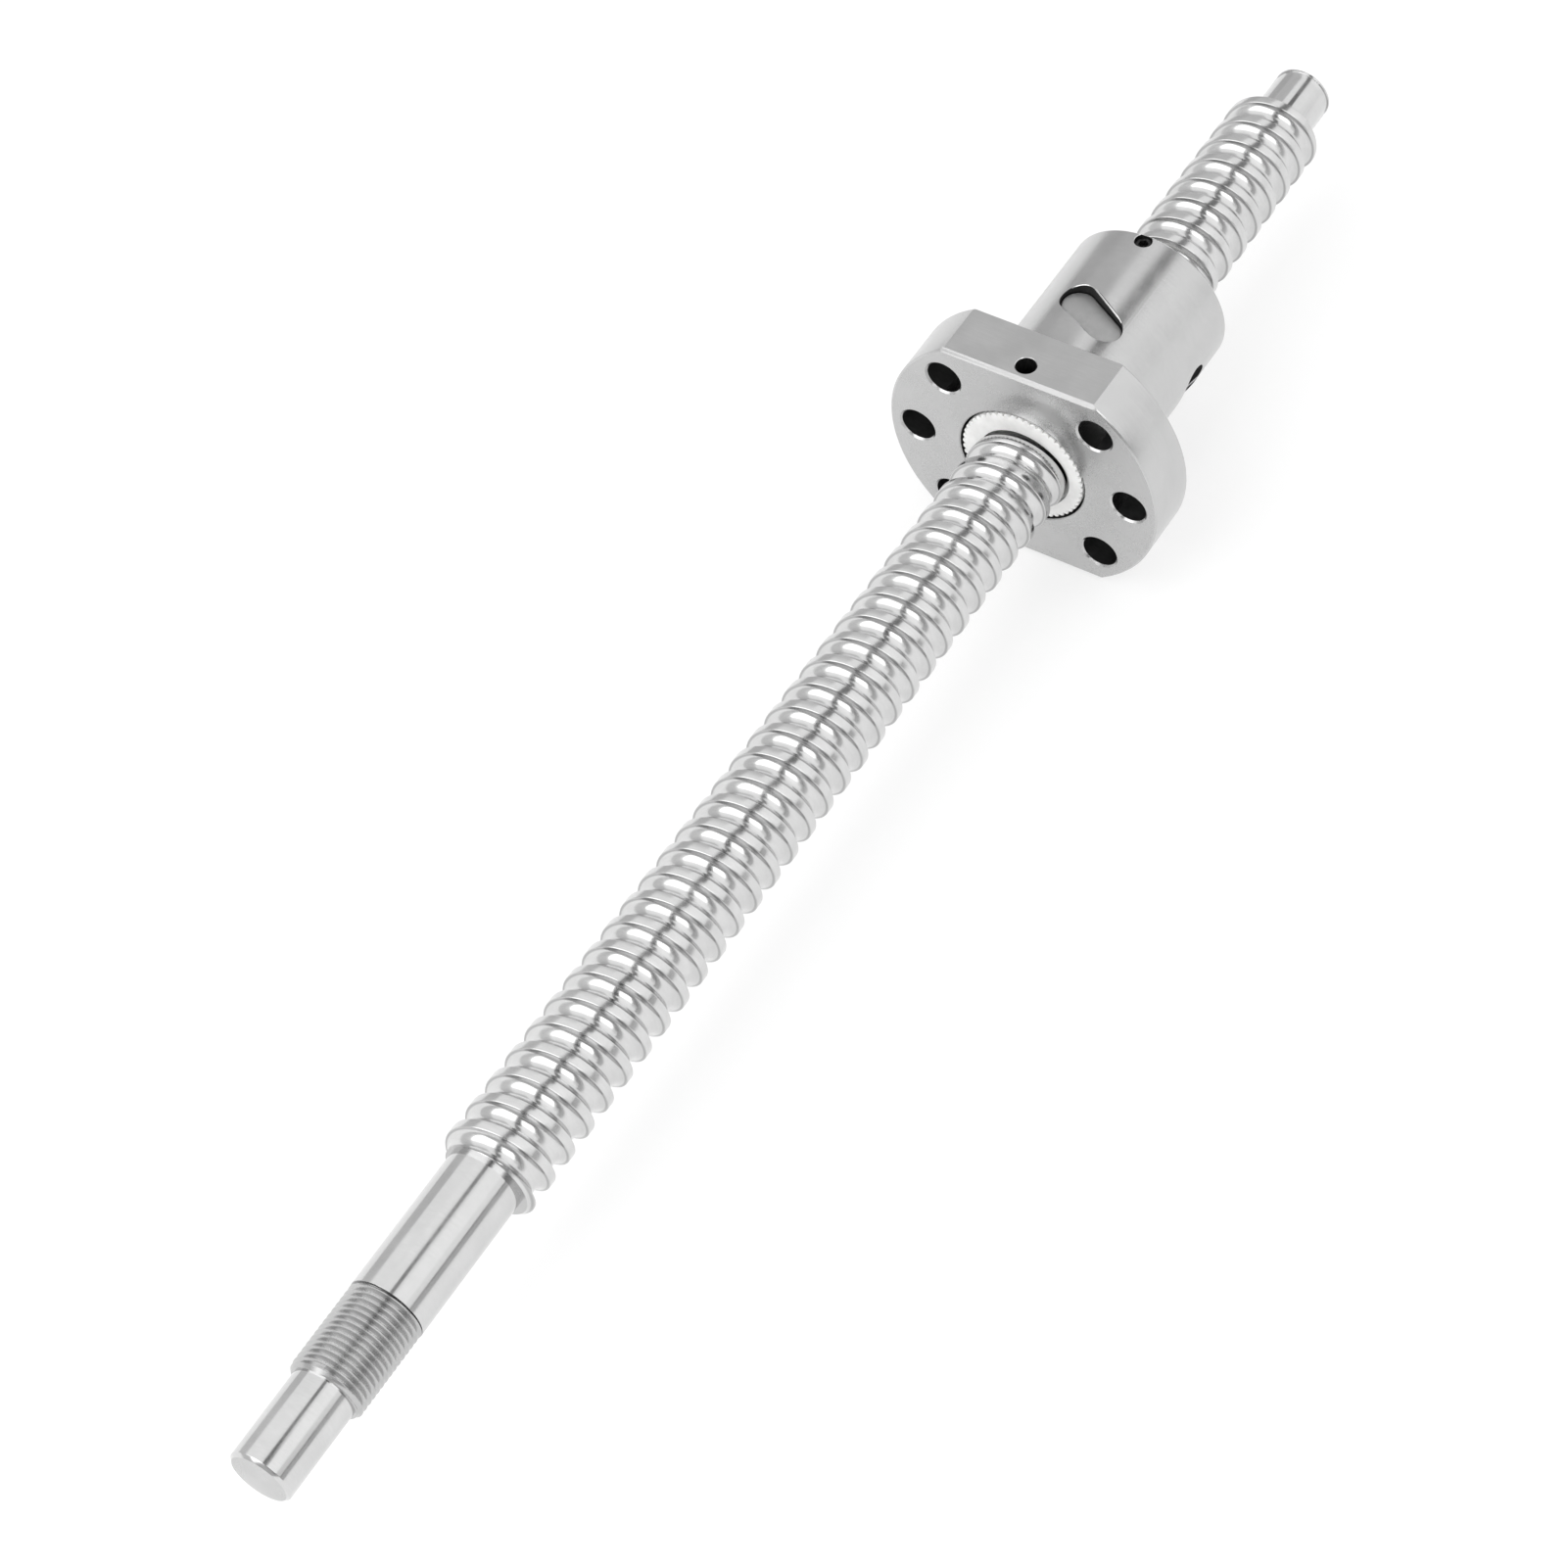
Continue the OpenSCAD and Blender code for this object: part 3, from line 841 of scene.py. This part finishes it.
# ---------------------------------------------------------------- the wipers
def build_wiper(name, x1, x2, lip):
    """A plastic ring with fine teeth round its outer edge, with a lip in the screw's groove."""
    steps_a_tooth = 8
    count = WIPER_TEETH * steps_a_tooth
    shape = bmesh.new()

    def tooth_r(k, lowered):
        phase = (k % steps_a_tooth) / steps_a_tooth
        notch = max(0.0, 1 - abs(phase - 0.5) / 0.32)
        return WIPER_R - lowered - WIPER_TOOTH * notch

    edge = 0.12
    rows = []
    for x, lowered in ((x1, edge), (x1 + edge, 0.0), (x2 - edge, 0.0), (x2, edge)):
        rows.append([at(x, tooth_r(k, lowered), 360 * k / count) for k in range(count)])
    for x, r in (
        (x2, WIPER_R - 0.8), (x2, WIPER_BORE_R + edge), (x2 - edge, WIPER_BORE_R),
        (x1 + edge, WIPER_BORE_R), (x1, WIPER_BORE_R + edge), (x1, WIPER_R - 0.8),
    ):
        rows.append([at(x, r, 360 * k / count) for k in range(count)])
    add_grid(shape, rows, closed_loop=True)
    wiper = make_object(shape, name)
    if lip:
        shape = bmesh.new()
        sweep(shape, screw_path(x1 - GROOVE_R, x2 + GROOVE_R, LIP_CIRCLE_R), LIP_R)
        strip = make_object(shape, "lip")
        carve(strip, rod(x1, x2, WIPER_R - 1), "INTERSECT")
        shape = bmesh.new()
        shape.from_mesh(strip.data)
        bpy.data.objects.remove(strip)
        carve(wiper, shape, "UNION")
    finish_piece(wiper, [WHITE_PLASTIC])
    return wiper


def build_set_screw():
    low, high = node_box("wiper_set_screw")
    x = (low.x + high.x) / 2
    edge = 0.12
    shape = bmesh.new()
    rows = []
    for z, offset in ((low.z, -edge), (low.z + edge, 0), (high.z - edge, 0), (high.z, -edge)):
        rows.append([(px, py, z) for px, py in circle(SET_SCREW_R, offset)])
    prism(shape, rows, Matrix.Translation((x, 0, 0)))
    piece = make_object(shape, "set_screw")
    shape = bmesh.new()
    rows = []
    for z in ((low.z + high.z) / 2, high.z + 1):
        rows.append([(px, py, z) for px, py in circle(HEX_KEY_R, steps=6)])
    prism(shape, rows, Matrix.Translation((x, 0, 0)))
    carve(piece, shape)
    finish_piece(piece, [BLACK_OXIDE])
    return piece


# ---------------------------------------------------------------- assembly
def place_piece(piece, body, node):
    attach(piece, body)
    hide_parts(node)


place_piece(build_screw(), "screw", "screw_shaft")
place_piece(build_nut(), "nut", "nut_body")
front_low, front_high = node_box("front_wiper")
rear_low, rear_high = node_box("rear_wiper")
front = build_wiper("wiper_front", front_low.x, front_high.x, lip=True)
rear = build_wiper("wiper_rear", rear_low.x, rear_high.x, lip=False)
place_piece(front, "nut", "front_wiper")
place_piece(rear, "nut_stage", "rear_wiper")
place_piece(build_set_screw(), "nut", "wiper_set_screw")
for circuit in CIRCUITS:
    place_piece(build_deflector(circuit), "nut", "deflector_" + circuit[0])
for name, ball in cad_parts.items():
    if name.startswith("ball_"):
        ball.data.materials.clear()
        ball.data.materials.append(BALL_STEEL)


# ---------------------------------------------------------------- the studio
TENT_R = 900.0
TENT_HALF_L = 2000.0
FLOOR_HALF_W = 6000
FLOOR_DROP = 0.1
FLOOR_TONE = 0.4
FLOOR_GLOW = 0.62
WORLD_TONE = 0.55

# Where the camera looks, from which side and from how far, in millimetres and degrees.
CAMERA_TARGET = (79.53, -0.22, 0)
CAMERA_AZIMUTH = -52.04
CAMERA_ELEVATION = 51.59
CAMERA_ROLL = -7.9
CAMERA_DISTANCE = 644.3
CAMERA_LENS = 99.47


def plain_material(name, colour, glow):
    made = bpy.data.materials.new(name)
    made.use_nodes = True
    surface = made.node_tree.nodes["Principled BSDF"]
    surface.inputs["Base Color"].default_value = grey(colour)
    surface.inputs["Roughness"].default_value = 0.9
    surface.inputs["Specular IOR Level"].default_value = 0.1
    surface.inputs["Emission Color"].default_value = (1, 1, 1, 1)
    surface.inputs["Emission Strength"].default_value = glow
    return made


def glowing_panel(name, stops):
    """A panel's light, blended between brightnesses at distances along X in millimetres."""
    made = bpy.data.materials.new(name)
    made.use_nodes = True
    tree = made.node_tree
    tree.nodes.clear()
    first, last = stops[0][0], stops[-1][0]
    most = max(glow for _, glow in stops)
    coordinates = tree.nodes.new("ShaderNodeTexCoord")
    split = tree.nodes.new("ShaderNodeSeparateXYZ")
    tree.links.new(coordinates.outputs["Object"], split.inputs[0])
    share = tree.nodes.new("ShaderNodeMapRange")
    share.inputs[1].default_value = first * MM
    share.inputs[2].default_value = last * MM
    tree.links.new(split.outputs[0], share.inputs[0])
    ramp = tree.nodes.new("ShaderNodeValToRGB")
    ramp.color_ramp.interpolation = "EASE"
    for i, (x, glow) in enumerate(stops):
        place = (x - first) / (last - first)
        marks = ramp.color_ramp.elements
        mark = marks[0] if i == 0 else marks[-1] if i == len(stops) - 1 else marks.new(place)
        mark.position = place
        mark.color = grey(glow / most)
    tree.links.new(share.outputs[0], ramp.inputs[0])
    light = tree.nodes.new("ShaderNodeEmission")
    light.inputs["Strength"].default_value = most
    tree.links.new(ramp.outputs[0], light.inputs["Color"])
    output = tree.nodes.new("ShaderNodeOutputMaterial")
    tree.links.new(light.outputs[0], output.inputs["Surface"])
    return made


def tent_panel(name, start, end, stops):
    """A curved panel between two angles round the screw's axis, which the camera can't see."""
    shape = bmesh.new()
    steps = 24
    rows = []
    for x in (-TENT_HALF_L, TENT_HALF_L):
        angles = [start + (end - start) * k / steps for k in range(steps + 1)]
        rows.append([at(x, TENT_R, angle) for angle in angles])
    add_grid(shape, rows, closed_rows=False)
    panel = make_object(shape, name)
    finish_piece(panel, [glowing_panel(name, stops)])
    panel.visible_camera = False
    return panel


def build_studio():
    shape = bmesh.new()
    half = FLOOR_HALF_W
    corners = ((-half, -half), (half, -half), (half, half), (-half, half))
    floor_z = NUT_LOW.z - FLOOR_DROP
    shape.faces.new([shape.verts.new((x, y, floor_z)) for x, y in corners])
    ground = make_object(shape, "floor")
    finish_piece(ground, [plain_material("pale_floor", FLOOR_TONE, FLOOR_GLOW)])
    # Soft boxes over the screw with a dark slot between them, white walls further down, and a
    # thin dark slot low at the side. Brightness changes along X.
    panels = [
        tent_panel("wall_left", -95, -58, [(-2000, 0.7), (0, 0.75), (700, 0.6), (2000, 0.5)]),
        tent_panel("box_left", -58, -18, [
            (-2000, 0.9), (-1400, 2.6), (-250, 2.6), (50, 1.15), (450, 1.1), (750, 0.7),
            (2000, 0.6),
        ]),
        tent_panel("box_top", -18, 5, [
            (-2000, 0.9), (-1400, 2.6), (-250, 2.6), (50, 1.15), (2000, 1.1),
        ]),
        tent_panel("slot_top", 5, 15, [
            (-2000, 0.13), (100, 0.13), (250, 0.3), (400, 0.3), (500, 0.2), (2000, 0.25),
        ]),
        tent_panel("slot_top_wide", 15, 22, [
            (-2000, 0.13), (100, 0.13), (200, 1.1), (400, 1.1), (480, 0.2), (2000, 0.25),
        ]),
        tent_panel("box_right", 22, 58, [
            (-2000, 0.3), (-1100, 0.35), (-850, 2.6), (-250, 2.6), (50, 1.25), (750, 1.2),
            (2000, 1.0),
        ]),
        tent_panel("wall_right", 58, 74, [
            (-2000, 0.3), (-350, 0.35), (0, 0.8), (450, 1.15), (2000, 1.0),
        ]),
        tent_panel("slot_side", 74, 77.5, [(-2000, 0.25), (600, 0.25), (760, 1.0), (2000, 1.0)]),
        tent_panel("wall_low", 77.5, 90, [(-2000, 0.55), (600, 0.55), (760, 1.05), (2000, 1.0)]),
    ]
    world = bpy.data.worlds.new("studio")
    world.use_nodes = True
    world.node_tree.nodes["Background"].inputs["Color"].default_value = grey(WORLD_TONE)
    bpy.context.scene.world = world


def build_camera():
    """A camera above the driven end, rolled a little, looking down on the screw."""
    azimuth, elevation = radians(CAMERA_AZIMUTH), radians(CAMERA_ELEVATION)
    roll = radians(CAMERA_ROLL)
    back = Vector((
        sin(azimuth) * cos(elevation), -cos(azimuth) * cos(elevation), sin(elevation)
    ))
    level = Vector((0, 0, 1)).cross(back).normalized()
    upright = back.cross(level)
    right = level * cos(roll) + upright * sin(roll)
    up = back.cross(right)
    spot = Vector(CAMERA_TARGET) + back * CAMERA_DISTANCE
    lens = bpy.data.cameras.new("camera")
    lens.lens = CAMERA_LENS
    lens.sensor_width = 36
    lens.clip_start = 0.01
    lens.clip_end = 50
    camera = bpy.data.objects.new("camera", lens)
    turn = Matrix((right, up, back)).transposed().to_4x4()
    camera.matrix_world = Matrix.Translation(spot * MM) @ turn
    bpy.context.scene.collection.objects.link(camera)
    bpy.context.scene.camera = camera


build_studio()
build_camera()
bpy.context.scene.view_settings.view_transform = "Standard"
